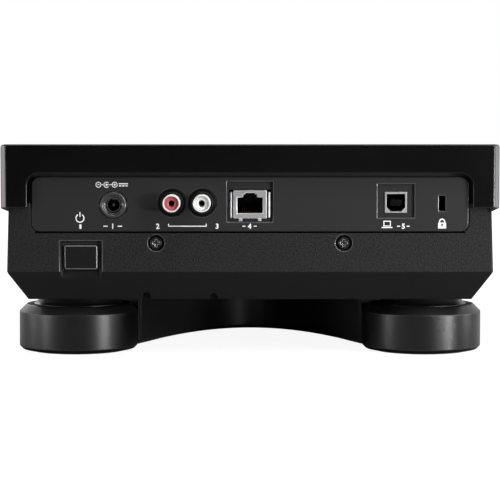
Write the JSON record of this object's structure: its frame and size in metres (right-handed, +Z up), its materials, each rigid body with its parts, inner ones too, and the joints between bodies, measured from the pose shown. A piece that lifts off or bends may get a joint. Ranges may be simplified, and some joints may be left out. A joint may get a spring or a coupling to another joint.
{
  "type": "tabletop dj cd player",
  "caption": "Compact tabletop DJ disc player: wedge case on round feet, front disc slot, jog wheel, tempo fader, push buttons, display and a rear jack panel.",
  "frame": {"origin": "on the table plane, under the middle of the whole object's bounding box", "axes": "+Z up, +X to the right as the player faces the deck's front, +Y towards the back panel with the sockets"},
  "size_m": [0.23, 0.302, 0.0991],
  "materials": {
    "upper_shell": "fine satin moulding",
    "lower_shell": "spark-eroded texture",
    "panel_plastic": "satin moulding",
    "base_plastic": "satin moulding",
    "foot_plastic": "satin moulding",
    "pad_rubber": "matt",
    "board_laminate": "solder mask",
    "connector_plastic": "moulded",
    "nickel_sleeve": "nickel plated",
    "core_red": "moulded",
    "core_white": "moulded",
    "socket_steel": "tinned sheet",
    "sheet_steel": "zinc plated sheet",
    "screw_steel": "black zinc",
    "module_plastic": "moulded",
    "display_acrylic": "polished",
    "bezel_plastic": "polished",
    "clamp_plastic": "moulded",
    "motor_steel": "plated can",
    "roller_rubber": "ground",
    "rod_steel": "ground",
    "screw_brass": "cut thread",
    "mechanism_plastic": "moulded",
    "jog_plastic": "satin moulding",
    "jog_metal": "spun and anodised",
    "fader_silver": "painted silver",
    "knob_plastic": "soft-touch",
    "power_plastic": "moulded",
    "key_rubber": "silicone",
    "play_plastic": "moulded",
    "cue_plastic": "moulded"
  },
  "bodies": {
    "chassis": {"lower_case": "lower_shell", "upper_case": "upper_shell", "jack_panel": "panel_plastic", "riser_base": "base_plastic", "foot_pads": "pad_rubber", "foot_front_left": "foot_plastic", "foot_rear_left": "foot_plastic", "foot_front_right": "foot_plastic", "foot_rear_right": "foot_plastic", "main_board": "board_laminate", "jack_board": "board_laminate", "control_board": "board_laminate", "dc_inlet": "connector_plastic", "phono_housing": "connector_plastic", "phono_sleeves": "nickel_sleeve", "phono_core_red": "core_red", "phono_core_white": "core_white", "network_socket": "socket_steel", "usb_b_socket": "socket_steel", "usb_a_socket": "socket_steel", "lock_bracket": "sheet_steel", "panel_screws": "screw_steel", "case_screws": "screw_steel", "display_module": "module_plastic", "display_glass": "display_acrylic", "slot_bezel": "bezel_plastic", "drive_frame": "sheet_steel", "drive_cover": "sheet_steel", "loading_motor": "motor_steel", "jog_bearing": "sheet_steel", "tempo_fader": "connector_plastic"},
    "jog": {"jog_wheel": "jog_plastic", "jog_plate": "jog_metal"},
    "tempo": {"tempo_knob": "fader_silver"},
    "browse_push": {"browse_plunger": "rod_steel"},
    "browse_turn": {"browse_knob": "knob_plastic"},
    "power": {"power_button": "power_plastic"},
    "clamp": {"disc_clamp": "clamp_plastic"},
    "roller": {"feed_roller": "roller_rubber"},
    "traverse": {"traverse_plate": "sheet_steel", "spindle_motor": "motor_steel", "guide_rods": "rod_steel"},
    "spindle": {"turntable": "mechanism_plastic"},
    "feed_screw": {"lead_screw": "screw_brass"},
    "sled": {"pickup_sled": "mechanism_plastic"},
    "loop_in": {"loop_in_button": "key_rubber"},
    "loop_out": {"loop_out_button": "key_rubber"},
    "loop_exit": {"loop_exit_button": "key_rubber"},
    "back": {"back_button": "key_rubber"},
    "menu": {"menu_button": "key_rubber"},
    "sync": {"sync_button": "key_rubber"},
    "search_back": {"search_back_button": "key_rubber"},
    "search_forward": {"search_forward_button": "key_rubber"},
    "track_back": {"track_back_button": "key_rubber"},
    "track_forward": {"track_forward_button": "key_rubber"},
    "master_tempo": {"master_tempo_button": "key_rubber"},
    "tempo_range": {"tempo_range_button": "key_rubber"},
    "eject": {"eject_button": "key_rubber"},
    "cue": {"cue_button": "cue_plastic"},
    "play": {"play_button": "play_plastic"}
  },
  "joints": [
    {"name": "jog_turn", "type": "hinge", "parent": "chassis", "child": "jog", "pos_m": [0, -0.04412, 0.08099], "axis": [0, -0.0958, 0.9954], "continuous": true},
    {"name": "tempo_slide", "type": "slide", "parent": "chassis", "child": "tempo", "axis": [0, -0.9954, -0.0958], "range_m": [-0.028, 0.028]},
    {"name": "browse_press", "type": "slide", "parent": "chassis", "child": "browse_push", "axis": [0, 0.0958, -0.9954], "range_m": [0, 0.0008], "stiffness_N_per_m": 1500},
    {"name": "browse_spin", "type": "hinge", "parent": "browse_push", "child": "browse_turn", "pos_m": [0.084, 0.03352, 0.08847], "axis": [0, -0.0958, 0.9954], "continuous": true},
    {"name": "power_press", "type": "slide", "parent": "chassis", "child": "power", "axis": [0, -1, 0], "range_m": [0, 0.002], "stiffness_N_per_m": 600},
    {"name": "clamp_spin", "type": "hinge", "parent": "chassis", "child": "clamp", "pos_m": [0, -0.069, 0.052], "axis": [0, 0, 1], "continuous": true},
    {"name": "roller_spin", "type": "hinge", "parent": "chassis", "child": "roller", "pos_m": [0, -0.1294, 0.0452], "axis": [1, 0, 0], "continuous": true},
    {"name": "traverse_lift", "type": "hinge", "parent": "chassis", "child": "traverse", "pos_m": [0, 0.012, 0.042], "axis": [1, 0, 0], "range_deg": [-3.5, 0]},
    {"name": "spindle_spin", "type": "hinge", "parent": "traverse", "child": "spindle", "pos_m": [0, -0.069, 0.052], "axis": [0, 0, 1], "continuous": true},
    {"name": "sled_slide", "type": "slide", "parent": "traverse", "child": "sled", "axis": [0, 1, 0], "range_m": [0, 0.034]},
    {"name": "feed_screw_spin", "type": "hinge", "parent": "traverse", "child": "feed_screw", "pos_m": [-0.033, -0.06, 0.0445], "axis": [0, 1, 0], "range_deg": [0, 4081]},
    {"name": "loop_in_press", "type": "slide", "parent": "chassis", "child": "loop_in", "axis": [0, 0.0958, -0.9954], "range_m": [0, 0.0008], "stiffness_N_per_m": 1500},
    {"name": "loop_out_press", "type": "slide", "parent": "chassis", "child": "loop_out", "axis": [0, 0.0958, -0.9954], "range_m": [0, 0.0008], "stiffness_N_per_m": 1500},
    {"name": "loop_exit_press", "type": "slide", "parent": "chassis", "child": "loop_exit", "axis": [0, 0.0958, -0.9954], "range_m": [0, 0.0008], "stiffness_N_per_m": 1500},
    {"name": "back_press", "type": "slide", "parent": "chassis", "child": "back", "axis": [0, 0.0958, -0.9954], "range_m": [0, 0.0008], "stiffness_N_per_m": 1500},
    {"name": "menu_press", "type": "slide", "parent": "chassis", "child": "menu", "axis": [0, 0.0958, -0.9954], "range_m": [0, 0.0008], "stiffness_N_per_m": 1500},
    {"name": "sync_press", "type": "slide", "parent": "chassis", "child": "sync", "axis": [0, 0.0958, -0.9954], "range_m": [0, 0.0008], "stiffness_N_per_m": 1500},
    {"name": "search_back_press", "type": "slide", "parent": "chassis", "child": "search_back", "axis": [0, 0.0958, -0.9954], "range_m": [0, 0.0008], "stiffness_N_per_m": 1500},
    {"name": "search_forward_press", "type": "slide", "parent": "chassis", "child": "search_forward", "axis": [0, 0.0958, -0.9954], "range_m": [0, 0.0008], "stiffness_N_per_m": 1500},
    {"name": "track_back_press", "type": "slide", "parent": "chassis", "child": "track_back", "axis": [0, 0.0958, -0.9954], "range_m": [0, 0.0008], "stiffness_N_per_m": 1500},
    {"name": "track_forward_press", "type": "slide", "parent": "chassis", "child": "track_forward", "axis": [0, 0.0958, -0.9954], "range_m": [0, 0.0008], "stiffness_N_per_m": 1500},
    {"name": "master_tempo_press", "type": "slide", "parent": "chassis", "child": "master_tempo", "axis": [0, 0.0958, -0.9954], "range_m": [0, 0.0008], "stiffness_N_per_m": 1500},
    {"name": "tempo_range_press", "type": "slide", "parent": "chassis", "child": "tempo_range", "axis": [0, 0.0958, -0.9954], "range_m": [0, 0.0008], "stiffness_N_per_m": 1500},
    {"name": "eject_press", "type": "slide", "parent": "chassis", "child": "eject", "axis": [0, 0.0958, -0.9954], "range_m": [0, 0.0008], "stiffness_N_per_m": 1500},
    {"name": "cue_press", "type": "slide", "parent": "chassis", "child": "cue", "axis": [0, 0.0958, -0.9954], "range_m": [0, 0.0008], "stiffness_N_per_m": 1500},
    {"name": "play_press", "type": "slide", "parent": "chassis", "child": "play", "axis": [0, 0.0958, -0.9954], "range_m": [0, 0.0008], "stiffness_N_per_m": 1500}
  ],
  "couplings": [
    {"joint": "feed_screw_spin", "follows": "sled_slide", "rad_per_m": 2094.4}
  ]
}
